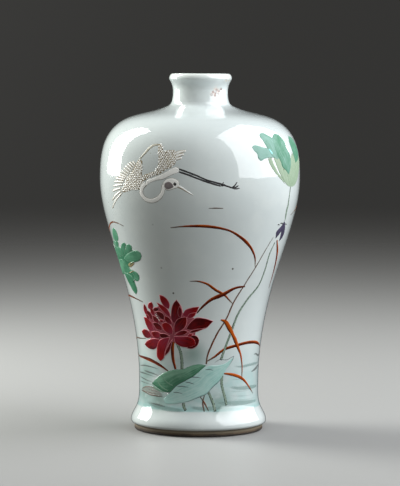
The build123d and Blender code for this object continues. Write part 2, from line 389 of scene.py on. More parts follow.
LOW_LEAF_VEINS = (
    ((204.3, 369.9), (208.8, 369.5), (214.5, 370.5)),
    ((189.6, 377.4), (194.7, 377.1), (202.4, 378.2)),
    ((184.5, 381.9), (189.6, 382.7), (195.4, 384.6)),
    ((176.2, 386.7), (182.6, 386.4), (190, 387.8)),
    ((172.4, 392.2), (178.2, 392.6), (183.9, 394)),
)
LOW_LEAF_LINES = (
    ((213.2, 363.9), (219, 359.9), (227.3, 359.6), (233.8, 356.3), (231.1, 362.1), (229.2, 365),
     (228.7, 368.2)),
    ((163.3, 398.8), (170.3, 392), (176.8, 385.5), (185.8, 380.5), (196, 374.7)),
    ((185.8, 402.6), (193.5, 399.4), (199.2, 397.2), (206.2, 394.1), (212.4, 387.5), (219.3, 381.1),
     (223.4, 375.2)),
)

# The furled leaf high on the right, as two edges for its bowl and for each fold on it, and (tone, two edges)
# for each lobe, and the bud under it, as two edges for each petal and courses for its hairs
FURLED_BOWL = (
    ((276, 157), (277.4, 168), (280.6, 175.4), (284.4, 181.6), (287.2, 185.4), (291, 187)),
    ((298, 157), (298.5, 168), (297.8, 176), (296.6, 181), (294.6, 185.2), (291, 187)),
)
FURLED_FOLDS = (
    (((266.6, 155), (269.4, 163.4), (272.8, 169.6), (277.2, 175.4), (282.2, 180.8), (285.4, 185)),
     ((270.2, 153), (273, 161.6), (276.2, 168.6), (279.8, 174.6), (283.6, 180), (285.4, 185))),
    (((271.4, 152), (275, 162), (277.8, 169.4), (280.8, 175.2), (283.8, 180.2), (287.2, 185.6)),
     ((280, 153), (281.4, 163), (282.6, 169), (284, 174.6), (285.6, 180), (287.2, 185.6))),
    (((283.6, 167.6), (282.4, 172), (282.8, 177), (284.8, 182), (288.4, 186)),
     ((283.6, 167.6), (286.4, 171.4), (287.4, 176), (288.4, 181), (288.4, 186))),
    (((288.6, 168), (287, 174), (287.8, 179), (288.8, 183), (290, 186.2)),
     ((288.6, 168), (291, 174), (291.6, 179), (291.4, 183), (290, 186.2))),
    (((292, 151), (290.4, 160), (291.2, 171), (291, 179), (291.8, 186.2)),
     ((292, 151), (295.2, 160), (296, 171), (295.2, 179), (291.8, 186.2))),
    (((297, 151), (294.6, 160), (295.4, 173), (294.6, 179.6), (293, 185.8)),
     ((297, 151), (298.9, 160), (298.4, 173), (297.2, 179.6), (293, 185.8))),
)
FURLED_LOBES = (
    (0.1,
     ((251.8, 147.1), (254.3, 151), (257.1, 153.8), (258.5, 158.8), (260.4, 160.9), (264.5, 159),
      (269, 157.8), (277, 158)),
     ((251.8, 147.1), (254.3, 145.2), (258.2, 145.8), (262.5, 147.2), (266.5, 148), (270.5, 149.6),
      (274, 152.4), (277, 158))),
    (0.4,
     ((259.3, 134.3), (259.9, 136.6), (262.7, 140.4), (264.3, 143.2), (266.6, 147.1), (268.8, 151),
      (271.4, 155.4), (278, 160)),
     ((259.3, 134.3), (262.1, 132.8), (267.6, 135.2), (272.5, 138), (276.5, 143), (279, 150), (278, 160))),
    (0.7,
     ((274, 133.8), (272.4, 137.1), (272.8, 142.7), (274.6, 148.2), (276.6, 154.9), (280.4, 161.6),
      (282.4, 167), (285.4, 170), (288.6, 174.8)),
     ((274, 133.8), (276.8, 134), (281.4, 137.8), (284.9, 142.7), (286.4, 147.7), (289.2, 153),
      (290.6, 159), (290.6, 167), (288.6, 174.8))),
    (1.0, ((288, 135.8), (289.2, 142.7), (291.6, 149.3), (293.6, 156), (295.4, 163)),
     ((288, 135.8), (292.1, 138.6), (295.2, 144.3), (297.4, 151), (297.9, 157.1), (295.4, 163))),
)
# A bright turquoise spot on a lobe of the furled leaf, a painted highlight
FURLED_SHINE = ((268.2, 148.4), (270.4, 151.2), (272.8, 154.8))
BUD_PETALS = (
    (((284.4, 220.8), (281.6, 225.6), (278.4, 229), (276.2, 232), (275.8, 235.4), (275.4, 239)),
     ((284.4, 220.8), (284, 226), (282, 230.2), (279.8, 233.6), (277.8, 236), (275.4, 239))),
    (((284.5, 220.6), (283, 226), (281.4, 231), (280.4, 235.6), (279.4, 239), (278.8, 241.6)),
     ((284.5, 220.6), (285.2, 225), (285, 229), (284.2, 233), (282.6, 237), (278.8, 241.6))),
)
BUD_HAIRS = (
    ((283.2, 224.6), (281.6, 223.1), (280.1, 223.6)),
    ((279.6, 225.3), (278.6, 224.5), (277.7, 224.8)),
    ((284.9, 224.2), (285.6, 223.8), (286.5, 224.9)),
)

# The leaf on the left that goes round the side: the outlines of its lobes, the two edges of the ground
# under them and of the ground's far half, which is wider and hangs lower, and its withered part
LEFT_LOBES = (
    ((113.7, 228.3), (115.8, 230.7), (117.6, 235.1), (118.3, 239.4), (116.7, 240.7), (115, 240.5),
     (113.4, 237.8), (112.6, 232.9), (112.6, 229.6)),
    ((116.9, 240.7), (118, 242.1), (118.3, 247.5), (116.7, 248.1), (115.8, 245.9), (115.8, 242.1)),
    ((119.4, 247), (120.7, 249.1), (121.8, 252.9), (121.3, 255.9), (119.2, 255.1), (117.4, 251.3),
     (116.9, 248.1)),
    ((124, 242.9), (125.6, 244), (125.2, 248.6), (124, 254), (122.3, 255.9), (121.2, 252.9), (121, 247.5),
     (121.8, 244.5)),
    ((128.8, 244.5), (131.3, 246.4), (131.6, 249.7), (129.4, 251.6), (127, 250.2), (126, 247.5),
     (126.7, 245.4)),
    ((141.1, 256.4), (139.9, 252.8), (136.8, 250.8), (132.6, 251.4), (128.6, 253.6), (125.4, 256),
     (124.2, 258.4), (126.6, 260.6), (131, 261.8), (136, 261.6), (139.6, 260)),
    ((120.6, 259.2), (124, 261.1), (126.7, 265.4), (130.5, 269.7), (134.3, 271.1), (128.3, 272.7),
     (125.1, 271.9), (122.6, 267), (121, 262.7)),
    ((132.1, 270.3), (135.4, 271.9), (138.6, 275.2), (139.1, 279), (137, 280.9), (134.8, 279.5),
     (134.5, 275.7), (132.1, 273)),
    ((135.9, 293.9), (137, 289.8), (135.4, 284.4), (132.1, 277.3), (128.3, 274.1), (124.4, 272.7),
     (126.3, 277.3), (129.6, 283.8), (133.3, 290.9)),
)
LEFT_GROUND = (
    ((117, 246), (118.4, 252), (120, 258.8), (121.8, 265), (124.8, 274), (129, 283.6), (134.6, 290.6)),
    ((117, 246), (123.6, 248.6), (130, 249), (136.6, 253.4), (137, 259.6), (131.4, 263), (129.6, 267.6),
     (134.4, 272.6), (136.4, 277.6), (133.4, 281), (134.6, 290.6)),
)
FAR_GROUND = (LEFT_GROUND[0][:5], LEFT_GROUND[1][:8] + LEFT_GROUND[0][4:5])
LEFT_MIDRIB = math.radians(-72.5)
FAR_HALF_WIDTH = 1.3
FAR_HALF_DROP = 12 * MM
LEFT_WITHERED = (
    (134.5, 263.6), (133.7, 262.4), (130.5, 262.2), (127.9, 264.3), (129.4, 266.8), (132.3, 266.6),
)
LEFT_BROWN_LINE = ((128.8, 273), (131.6, 271.9), (134.5, 270.8))

# The crane, flying to the left with its neck drawn back in a loop. Each wing feather runs from a root to a
# tip with a bend between them, and the small feathers of a patch of coverts point away from its lead.
CRANE_BODY = (
    (179.1, 170.3), (178.2, 168.2), (176.2, 167.1), (172.7, 168), (168.1, 170.6), (162.4, 173.6),
    (156.7, 176.3), (150.9, 178.7), (146.3, 180.9), (146.2, 186), (148.4, 184), (152.6, 181.8),
    (157.8, 180.1), (162.4, 179.5), (167.6, 177.2), (173.3, 174.3), (177.9, 172.6),
)
CRANE_NECK = (
    (145.6, 183.2), (142.3, 187.4), (141.4, 192.8), (144, 197.7), (149.2, 200.6), (154.9, 200.2),
    (159.6, 197), (162.4, 192.4), (163.3, 187.8), (163.9, 184.4),
)
CRANE_NECK_WIDTHS = (3.4, 3.0, 2.9, 2.9, 3.1, 3.2, 3.1, 2.8, 2.5, 2.3)
CRANE_HEAD = (
    (179.3, 184.8), (178.2, 180.9), (175, 178.7), (170.4, 178.1), (165.8, 179.7), (163, 183),
    (163.6, 187.2), (166.4, 190), (173.3, 188.9), (177.5, 187.4),
)
CRANE_CHEEK = (
    (173.9, 187), (172.4, 183.6), (168.6, 181.4), (164.8, 183), (164.2, 186.6), (166.5, 189.4),
    (171, 188.7),
)
CRANE_EYE = ((172.7, 184.1), (174.7, 182.1), (177, 183.8), (175.3, 186.4))
CRANE_BEAK = ((177.4, 185.6), (181.3, 187.4), (186.5, 190.9), (193.7, 195.3))
CRANE_BEAK_UNDER = ((177.2, 187), (181.3, 188.7), (187.1, 192), (193.6, 195.5))
CRANE_TAIL = (
    ((175.6, 154), (180, 152), (186.2, 150.8)),
    ((175.6, 156.6), (180, 154.9), (184.2, 154.1)),
    ((175, 159.2), (179.1, 158.2), (182, 157.6)),
)
CRANE_TAIL_WIDTHS = (1.6, 1.9, 1.5, 0.5)
WING_TIPS = (
    (132.6, 161.4), (129.8, 162), (127.6, 163.6), (125.6, 165.6), (123.6, 168), (121.4, 170.4),
    (119, 173), (117, 175.4), (115.4, 178), (114.2, 181.6), (113.2, 186), (112.2, 191.2), (112.2, 200.6),
    (112.4, 208.4),
)
WING_ROOTS = (
    (136, 165.4), (134.6, 167.2), (133.2, 169.2), (131.8, 171.4), (130.4, 173.4), (129, 175.4),
    (127.4, 177), (126.2, 178.4), (125, 180), (124.2, 182), (123.2, 184.6), (121.4, 188), (121.6, 190.8),
    (122.4, 192.6),
)
WING_BENDS = (-0.4, -0.4, -0.4, -0.4, -0.4, -0.3, -0.2, 0, 0.1, 0.2, 0.3, 0.3, 0.9, 1.1)
WING_FEATHER_WIDTHS = (0.7, 1.1, 1.3, 1.1, 0.2)
LEFT_COVERTS = (
    (138.4, 160), (141.9, 160.8), (142.3, 167.1), (141.7, 174), (143.4, 180.4), (142, 184.9),
    (139.3, 189.4), (136, 189.6), (131, 190), (126.4, 192), (122.6, 192.2), (121.6, 189.4),
    (123.8, 185.6), (124.8, 182), (126.4, 178.6), (130, 174.6), (132.4, 170.8), (134.8, 166.4),
)
RIGHT_COVERTS = (
    (158.6, 144.4), (160.9, 143.9), (162.7, 145.9), (163.3, 151.4), (168.1, 150.6), (175.9, 151.4),
    (177.6, 153.9), (176.2, 159.7), (174.5, 164.3), (171.6, 167.1), (165.8, 169.4), (160.1, 173.5),
    (155.5, 175.4), (151.2, 176.6), (150.4, 173.2), (155.6, 170.6), (157.8, 166), (158.7, 158),
    (158.1, 149.4),
)
COVERT_STRIP = ((141, 176.6), (146.3, 174.4), (151.4, 173.2), (152, 176.8), (147, 178.8), (143, 181.4))
COVERT_LEADS = ((146, 178), (150, 182), (146, 190))
COVERT_GROWTH = 0.2 * MM
COVERT_PITCH = 1.85 * MM
COVERT_LENGTH = 2.1 * MM
LEADING_EDGE = ((139.4, 159.8), (142, 156.4), (145.4, 152.6), (149, 148.6), (153, 145.6), (158.8, 144.4))
CRANE_LEGS = (
    ((178.8, 169), (185.4, 171.3), (195, 175), (208, 180.4), (220.3, 183.9), (232.3, 188)),
    ((178.8, 171.8), (186, 174.1), (193.5, 177), (206.9, 181.9), (214, 184.2), (221, 186)),
)
CRANE_TOES = (
    ((221, 186), (222.6, 184.4), (223.6, 181.7)),
    ((221, 186), (223.6, 185.4), (225.4, 183.6)),
    ((232, 188), (235, 185.4), (237.2, 181.7)),
    ((232, 188), (236, 187.2), (238.6, 185.2)),
    ((232, 188), (236.4, 188.8), (239.9, 188)),
)

# The curled leaf in the water, between its two edges, and the water's grey strokes and blue bands, as
# (widths, course)
CURLED_LEAF = (
    ((141.4, 389), (145, 386.9), (150, 386), (156, 388.2), (160, 391.6), (164, 396)),
    ((141.4, 389), (145.4, 391.9), (149.8, 394.4), (156.6, 396.1), (160.6, 396.8), (164, 396)),
)
WATER_STROKES = (
    ((0.3, 1.0, 0.8, 0.3), ((139.8, 365.4), (146.6, 365.6), (152, 367), (160, 369.6))),
    ((0.4, 1.2, 0.8, 0.2), ((143.6, 370), (148.5, 371.9), (156, 374.5), (160, 376.4))),
    ((0.6, 1.0, 0.6, 0.2), ((139.6, 371.6), (144, 373), (151, 375.4), (157, 377.6))),
    ((0.3, 0.9, 0.7, 0.2), ((140, 375.6), (144.8, 379), (149.5, 381), (154, 382))),
    ((0.2, 0.7, 0.5, 0.2), ((140, 380.4), (144.8, 382.4), (150, 384.2), (154, 384.8))),
    ((0.5, 1.5, 1.9, 0.5), ((250.4, 372.3), (253.6, 370), (256.6, 367), (258.8, 363.4))),
    ((0.4, 1.2, 1.4, 0.4), ((253.2, 354.8), (255.6, 353.6), (257.6, 355), (259.4, 353.6))),
    ((0.5, 1.2, 0.5), ((150, 402.6), (157, 404.4), (166, 406.8))),
)
GREY_STROKE_BREADTH = 1.5
WATER_TONES = (0.3, 0.4, 0.5, 0.6)
CURLED_LEAF_LINES = (
    ((0.3, 0.9, 0.7, 0.3), ((141.4, 389), (147.2, 386.5), (153, 387.3), (160, 391.6))),
    ((0.3, 1.0, 1.0, 0.8, 0.3),
     ((141, 389.4), (145.4, 391.9), (149.8, 394.4), (156.6, 395.9), (164, 396.6))),
    ((0.2, 0.6, 0.2), ((148, 389.4), (152.6, 390.2), (158, 392))),
    ((0.2, 0.6, 0.2), ((146, 390.8), (150.4, 392.6), (157, 393.8))),
)
WATER_BANDS = (
    ((2, 5, 4, 2), ((216, 402.6), (228, 403.2), (244, 402.4), (257, 399.6))),
    ((2, 4, 4, 2), ((228, 387), (238, 388), (248, 387.4), (258, 385))),
    ((1, 3, 3, 1), ((232, 366), (240, 366.6), (250, 364.6), (259, 361.6))),
    ((2, 4, 5, 3), ((146, 401), (157, 406), (172, 409.6), (186, 411))),
    ((2, 4, 4, 2), ((189, 407), (200, 408.6), (212, 408.6), (224, 407.6))),
)
WATER_LINES = (
    ((228, 395.6), (240, 396), (252, 394.6)),
    ((226, 391), (238, 391.4), (250, 390)),
    ((230, 379), (238, 379.4), (246, 378.4)),
    ((229, 399), (241, 399.6), (255, 397.4)),
)

# Patches where the glaze is painted a darker blue green: under the lotus, at the left, and low between the
# stalks
DARKER_PATCHES = ((193, 354), (146, 373), (145, 392), (158, 400), (220, 404))
DARKER_PATCH_RADIUS = 16 * MM

# Flaws of the glaze: the specks, as (strength, place), and where the neck and the lip are worn, as (radius
# in mm, the stretch of the grain that breaks it up, colour, places)
IRON_SPECKS = (
    (0.4, (161.4, 267.9)), (0.95, (232.7, 268.9)), (0.95, (173.3, 293.2)), (0.25, (152.7, 224.6)),
)
IRON_SPECK_RADIUS = 1.3 * MM
WORN_PLACES = (
    (7.5, (0.42, 0.6), (214, 198, 188), ((216, 92.5),)),
    (2.0, (0.3, 0.5), (120, 92, 84), (
        (211.5, 94.6), (213, 92), (215, 95.4), (215.6, 93), (217.8, 94.2), (219, 91.4), (221, 89.3),
        (216.6, 90.4),
    )),
    (3.2, (0.44, 0.58), (190, 174, 150), ((225.4, 81.6), (229, 80), (228, 76.5))),
)

# Depth of the grain in the bare body, the slip and the enamels, in metres
CLAY_RELIEF = 0.00012
SLIP_RELIEF = 0.00015
ENAMEL_RELIEF = 0.00005


def flow(points, count):
    """Evenly spaced points along a smooth line through the given ones."""
    points = np.asarray(points, float)
    gaps = np.linalg.norm(np.diff(points, axis=0), axis=1)
    reach = np.concatenate([[0], np.cumsum(gaps)])
    slopes = np.gradient(points, reach, axis=0)
    at = np.linspace(0, reach[-1], count)
    span = np.clip(np.searchsorted(reach, at, side="right") - 1, 0, len(gaps) - 1)
    length = gaps[span][:, None]
    t = (at - reach[span])[:, None] / length
    return (
        (2 * t**3 - 3 * t**2 + 1) * points[span]
        + (t**3 - 2 * t**2 + t) * length * slopes[span]
        + (3 * t**2 - 2 * t**3) * points[span + 1]
        + (t**3 - t**2) * length * slopes[span + 1]
    )


def inside(points, outline):
    """Which points lie within a closed outline."""
    found = np.zeros(len(points), bool)
    for (ax, ay), (bx, by) in zip(outline, np.roll(outline, -1, axis=0)):
        spans = (ay > points[:, 1]) != (by > points[:, 1])
        rise = by - ay if by != ay else 1
        found ^= spans & (points[:, 0] < (bx - ax) * (points[:, 1] - ay) / rise + ax)
    return found


def varied(index, least, span):
    """A tone for each of a row of neighbours, none near the one before."""
    return least + span * (index * GOLDEN_SHARE % 1)


def placed(name, data):
    """A new object of the scene."""
    made = bpy.data.objects.new(name, data)
    bpy.context.scene.collection.objects.link(made)
    return made


def placed_mesh(name, shell):
    """A new object of the scene with the mesh that was built up."""
    mesh = bpy.data.meshes.new(name)
    shell.to_mesh(mesh)
    shell.free()
    return placed(name, mesh)


class Wall:
    """The glazed outside, charted by the angle round from the front and the way up its outline."""

    def __init__(self):
        heights = np.arange(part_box("foot")[0].z + OUTLINE_STEP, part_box("neck")[1].z, OUTLINE_STEP)
        radii = [max(self.reach(name, height) for name in WALL_NODES) for height in heights]
        kernel = np.ones(OUTLINE_BLUR) / OUTLINE_BLUR
        self.radii = np.convolve(radii, kernel, mode="valid")
        self.heights = np.convolve(heights, kernel, mode="valid")
        self.along = np.concatenate([[0], np.cumsum(np.hypot(np.diff(self.radii), np.diff(self.heights)))])
        self.lean = np.arctan2(-np.gradient(self.radii), np.gradient(self.heights))

    @staticmethod
    def reach(name, height):
        """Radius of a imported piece's outside at a height, or nothing where it has none."""
        hit, place, _, _ = frame["nodes"][name].ray_cast(Vector((1, 0, height)), Vector((-1, 0, 0)))
        return place.x if hit else 0

    def radius(self, along):
        return np.interp(along, self.along, self.radii)

    def place(self, angle, along, lift=0):
        """Points in space that stand proud of the wall by the lift."""
        lean = np.interp(along, self.along, self.lean)
        radius = self.radius(along) + lift * np.cos(lean)
        height = np.interp(along, self.along, self.heights) + lift * np.sin(lean)
        return np.column_stack([radius * np.sin(angle), -radius * np.cos(angle), height])

    def strike(self, pixels):
        """Where the camera sees pixels of the photograph on the wall, as chart points."""
        pixels = np.atleast_2d(np.asarray(pixels, float))
        camera = bpy.context.scene.camera
        pitch = camera.data.sensor_width / PHOTO_HEIGHT
        across = (pixels[:, 0] - PHOTO_WIDTH / 2) * pitch
        up = (PHOTO_HEIGHT / 2 - pixels[:, 1]) * pitch
        sight = np.column_stack([across, up, np.full(len(pixels), -camera.data.lens)])
        sight = sight @ np.array(camera.matrix_world.to_3x3()).T
        sight /= np.linalg.norm(sight, axis=1)[:, None]
        eye = np.array(camera.matrix_world.translation)
        widest = self.radii.max()
        near = np.hypot(eye[0], eye[1]) - widest * SIGHT_LEAD
        steps = np.linspace(near, near + widest * SIGHT_REACH, SIGHT_STEPS)
        track = eye + sight[:, None, :] * steps[None, :, None]
        gap = np.hypot(track[..., 0], track[..., 1]) - np.interp(track[..., 2], self.heights, self.radii)
        crossed = gap < 0
        last = np.where(crossed.any(axis=1), crossed.argmax(axis=1), gap.argmin(axis=1))
        rows = np.arange(len(pixels))
        before = gap[rows, last - 1]
        after = gap[rows, last]
        share = np.where(crossed.any(axis=1), before / (before - after), 1)
        spot = track[rows, last - 1] + (track[rows, last] - track[rows, last - 1]) * share[:, None]
        angle = np.arctan2(spot[:, 0], -spot[:, 1])
        return np.column_stack([angle, np.interp(spot[:, 2], self.heights, self.along)])

    def seen_at(self, pixel):
        """The point in space that the camera sees at a pixel."""
        return self.place(*self.strike(pixel).T)[0]

    def chart(self, points):
        """Chart points from degrees round from the front and heights in millimetres."""
        points = np.asarray(points, float)
        along = np.interp(points[:, 1] * MM, self.heights, self.along)
        return np.column_stack([np.radians(points[:, 0]), along])

    def metric(self, points):
        """Scale that turns chart points near these into lengths in metres."""
        return np.array([self.radius(np.mean(points[:, 1])), 1])

    def smooth(self, points, count=None):
        """A smooth line on the wall through chart points."""
        scale = self.metric(points)
        if count is None:
            length = np.linalg.norm(np.diff(points * scale, axis=0), axis=1).sum()
            count = max(LEAST_POINTS, math.ceil(length / STROKE_STEP) + 1)
        return flow(points * scale, count) / scale

    def paired(self, left, right):
        """Smooth lines through two edges, with as many points in each."""
        count = max(len(self.smooth(left)), len(self.smooth(right)))
        return self.smooth(left, count), self.smooth(right, count)

    def edges(self, points, widths):
        """Both edges of a stroke that follows chart points, with widths in millimetres spread along it."""
        line = self.smooth(points)
        radius = self.radius(line[:, 1])
        step = np.gradient(line, axis=0)
        run = np.column_stack([step[:, 0] * radius, step[:, 1]])
        run /= np.linalg.norm(run, axis=1)[:, None]
        stations = np.linspace(0, 1, len(widths))
        half = (np.interp(np.linspace(0, 1, len(line)), stations, widths) + STROKE_SPREAD) * MM / 2
        side = np.column_stack([-run[:, 1] / radius, run[:, 0]]) * half[:, None]
        return line + side, line - side

    def halves(self, outline, grow=0.0):
        """Both edges of a closed outline of chart points, from its first point to the one farthest off."""
        scale = self.metric(outline)
        away = (outline - outline.mean(axis=0)) * scale
        outline = outline + away / np.linalg.norm(away, axis=1)[:, None] * grow / scale
        scaled = outline * scale
        far = int(np.argmax(np.linalg.norm(scaled - scaled[0], axis=1)))
        return self.paired(outline[:far + 1], np.vstack([outline[far:], outline[:1]])[::-1])


class Enamel:
    """One piece of raised enamel, gathered from strokes and petals laid on the wall."""

    def __init__(self, name, painter):
        self.name = name
        self.painter = painter
        self.wall = painter.wall
        self.coat = painter.coat
        self.shell = bmesh.new()
        self.marks = {mark: self.shell.verts.layers.float.new(mark) for mark in MARKS}

    def patch(self, left, right, level=0, tone=0.5):
        """Lays enamel between two edges of as many points, both running the same way."""
        coat = self.coat
        radius = self.wall.radius((left[:, 1] + right[:, 1]) / 2)
        gap = right - left
        widths = np.hypot(gap[:, 0] * radius, gap[:, 1])
        middle = (left + right) / 2 * np.column_stack([radius, np.ones(len(left))])
        length = np.linalg.norm(np.diff(middle, axis=0), axis=1).sum()
        rows = len(left) - 1
        columns = min(MOST_COLUMNS, max(LEAST_COLUMNS, math.ceil(widths.max() / COLUMN_STEP) + 2))
        made = bmesh.ops.create_grid(self.shell, x_segments=rows, y_segments=columns, size=1)["verts"]
        row = np.rint([(vert.co.x + 1) / 2 * rows for vert in made]).astype(int)
        column = np.rint([(vert.co.y + 1) / 2 * columns for vert in made]).astype(int)
        width = np.maximum(widths[row], LEAST_WIDTH)
        rim = np.minimum(coat.rim / width, RIM_SHARE)
        across = np.clip((column - 1) / (columns - 2), 0, 1) * (1 - 2 * rim) + rim
        across = np.where(column == 0, 0, np.where(column == columns, 1, across))
        along = row / rows
        edge = np.minimum(across, 1 - across) * width
        for end, share in ((widths[0], along), (widths[-1], 1 - along)):
            if end > coat.rim:
                edge = np.minimum(edge, share * length)
        wide = np.minimum(1, width / (CROWN_RIMS * coat.rim))
        crown = 1 + CROWN * (1 - (2 * across - 1) ** 2) * wide - CROWN
        whole = np.minimum(1, edge / coat.rim)
        top = (coat.rise * crown + level * coat.layer) * whole
        lift = np.where(edge <= 0, -coat.sink, top - coat.sink * (1 - whole))
        spot = left[row] + gap[row] * across[:, None]
        place = self.wall.place(spot[:, 0], spot[:, 1], lift)
        values = dict(zip(MARKS, (along, across, edge / MM, np.full(len(made), tone), width / MM)))
        for index, vert in enumerate(made):
            vert.co = place[index]
            for mark, layer in self.marks.items():
                vert[layer] = values[mark][index]
        faces = list({face for vert in made for face in vert.link_faces})
        largest = max(faces, key=lambda face: face.calc_area())
        largest.normal_update()
        if largest.normal.dot(largest.calc_center_median() * Vector((1, 1, 0))) < 0:
            bmesh.ops.reverse_faces(self.shell, faces=faces)
        return self

    def stroke(self, course, widths, level=0, tone=0.5, beyond=None):
        """Along pixels, and beyond them through points of (degrees round, mm up) where they are given."""
        points = self.wall.strike(course)
        if beyond:
            points = np.vstack([points, self.wall.chart(beyond)])
        return self.patch(*self.wall.edges(points, widths), level, tone)

    def strokes(self, courses, widths, level=0, tone=0.5):
        for course in courses:
            self.stroke(course, widths, level, tone)
        return self

    def petal(self, outline, level=0, tone=0.5, grow=0.0):
        """Within an outline of pixels."""
        return self.patch(*self.wall.halves(self.wall.strike(outline), grow), level, tone)

    def between(self, edges, level=0, tone=0.5):
        """Between two courses of pixels."""
        return self.patch(*self.wall.paired(*map(self.wall.strike, edges)), level, tone)

    def scales(self, outline, lead, pitch, length, level=0):
        """Fills an outline of pixels with small overlapping feathers that point away from the lead."""
        outline = self.wall.strike(outline)
        scale = self.wall.metric(outline)
        area = outline * scale
        low = area.min(axis=0)
        high = area.max(axis=0)
        spots = np.array([
            (x + (index % 2) * pitch / 2, y)
            for index, y in enumerate(np.arange(low[1], high[1] + pitch, pitch * FEATHER_ROWS))
            for x in np.arange(low[0] - pitch, high[0] + pitch, pitch)
        ])
        centre = self.wall.strike(lead)[0] * scale
        for index, spot in enumerate(spots[inside(spots, area)]):
            stray = np.array([math.sin(index * wave) for wave in FEATHER_WAVES]) * pitch * FEATHER_STRAY
            spot = spot + stray
            away = spot - centre
            away /= np.linalg.norm(away)
            start = spot - away * length / 2
            end = spot + away * length / 2
            course = np.array([start, spot, end]) / scale
            tone = 0.5 + 0.5 * math.sin(index * TONE_WAVE)
            self.patch(*self.feather_edges(course, pitch), level + index % 2, tone)
        return self

    def feather_edges(self, course, width):
        shape = np.array(FEATHER_WIDTHS) * width * FEATHER_FILL / 2
        scale = self.wall.metric(course)
        line = flow(course * scale, len(shape))
        run = line[-1] - line[0]
        run /= np.linalg.norm(run)
        side = np.array([-run[1], run[0]]) * shape[:, None]
        return (line + side) / scale, (line - side) / scale

    def finish(self, enamel):
        """Closes the shell, gives the piece the enamel named, and hangs it from the body's empty."""
        bmesh.ops.remove_doubles(self.shell, verts=self.shell.verts, dist=WELD)
        piece = placed_mesh(self.name, self.shell)
        for face in piece.data.polygons:
            face.use_smooth = True
        body = piece.modifiers.new("enamel_body", "SOLIDIFY")
        body.thickness = self.coat.rise + self.coat.bed
        body.offset = -1
        material, slot = self.painter.mixed(enamel)
        piece.data.materials.append(material)
        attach(piece, BODY)


class Painter:
    """Lays enamels on the wall by the scene's settings, and mixes each of them once."""

    def __init__(self, context):
        self.wall = Wall()
        self.coat = context.scene.vase_enamel
        self.jars = {}

    def piece(self, name):
        return Enamel(name, self)

    def mixed(self, enamel):
        """The material of an enamel, and its slot."""
        if enamel not in self.jars:
            slot, brushwork = ENAMELS[enamel]
            self.jars[enamel] = enamel_finish(f"{enamel}_enamel", self.coat, **brushwork), slot
        return self.jars[enamel]


def maths(operation, swapped=False):
    """An operator for Wire that adds one Math node."""

    def apply(self, other):
        pair = (other, self) if swapped else (self, other)
        return self.recipe.node("ShaderNodeMath", {"operation": operation}, dict(enumerate(pair)))

    return apply


class Wire:
    """The output of a node, which Python's operators lead on into Math nodes."""

    def __init__(self, recipe, socket):
        self.recipe = recipe
        self.socket = socket

    __add__ = maths("ADD")
    __radd__ = maths("ADD", swapped=True)
    __sub__ = maths("SUBTRACT")
    __rsub__ = maths("SUBTRACT", swapped=True)
    __mul__ = maths("MULTIPLY")
    __rmul__ = maths("MULTIPLY", swapped=True)
    at_most = maths("MINIMUM")
    turn_from = maths("ARCTAN2")

    def ease(self, low, high):
        """Rises smoothly from 0 at low to 1 at high, or falls where low is the larger."""
        return self.recipe.node(
            "ShaderNodeMapRange",
            {"interpolation_type": "SMOOTHSTEP"},
            {"Value": self, "From Min": low, "From Max": high},
        )

    def band(self, begin, full, still_full, end):
        """Rises to 1 over the first stretch, and falls to 0 over the last."""
        return self.ease(begin, full) * self.ease(end, still_full)


class Recipe:
    """Nodes of a material or of the surround, that read a place or a direction."""

    def __init__(self, owner, reading):
        owner.use_nodes = True
        self.tree = owner.node_tree
        self.place = self.node("ShaderNodeTexCoord", output=reading)

    def node(self, kind, settings=None, values=None, output=0):
        """Adds a node: its settings first, then the values or links of its sockets."""
        node = self.tree.nodes.new(kind)
        for name, value in (settings or {}).items():
            setattr(node, name, value)
        for key, value in (values or {}).items():
            self.feed(node.inputs[key], value)
        return Wire(self, node.outputs[output])

    def feed(self, socket, value):
        if isinstance(value, Wire):
            self.tree.links.new(value.socket, socket)
        else:
            socket.default_value = value

    def noise(self, scale, detail, place=None):
        values = {"Vector": place or self.place, "Scale": scale, "Detail": detail}
        return self.node("ShaderNodeTexNoise", None, values)

    def mark(self, name):
        """A value that the piece's mesh carries."""
        return self.node("ShaderNodeAttribute", {"attribute_name": name}, output="Fac")

    def axes(self):
        """The place's three coordinates apart."""
        split = self.tree.nodes.new("ShaderNodeSeparateXYZ")
        self.tree.links.new(self.place.socket, split.inputs[0])
        return [Wire(self, output) for output in split.outputs]

    def vector(self, x, y, z):
        return self.node("ShaderNodeCombineXYZ", None, {0: x, 1: y, 2: z})

    def mix(self, share, first, second):
        """One colour passing into another."""
        values = {0: share, MIX_FIRST: paint(first), MIX_SECOND: paint(second)}
        return self.node("ShaderNodeMix", {"data_type": "RGBA"}, values, MIX_COLOUR)

    def spot(self, centre, radius):
        """1 at a point of the wall, falling to 0 at the radius."""
        ends = {0: self.place, 1: centre}
        return self.node("ShaderNodeVectorMath", {"operation": "DISTANCE"}, ends, "Value").ease(radius, 0)


class Finish(Recipe):
    """The nodes of one material, round its shader."""

    def __init__(self, name, uniform=None):
        self.material = bpy.data.materials.new(name)
        super().__init__(self.material, "Object")
        self.shader = self.tree.nodes["Principled BSDF"]
        for socket, value in (uniform or {}).items():
            self.shader.inputs[socket].default_value = value

    def made(self, colour, roughness, relief=None, depth=0.0, alpha=None):
        self.feed(self.shader.inputs["Base Color"], colour)
        self.feed(self.shader.inputs["Roughness"], roughness)
        if alpha is not None:
            self.feed(self.shader.inputs["Alpha"], alpha)
        if relief is not None:
            bump = self.node("ShaderNodeBump", None, {"Height": relief, "Distance": depth})
            self.feed(self.shader.inputs["Normal"], bump)
        return self.material


def linear(*screen):
    """A colour for the shaders from screen values of 0 to 255, by the sRGB curve."""
    return tuple(
        value / 255 / 12.92 if value < 11 else ((value / 255 + 0.055) / 1.055) ** 2.4 for value in screen
    )


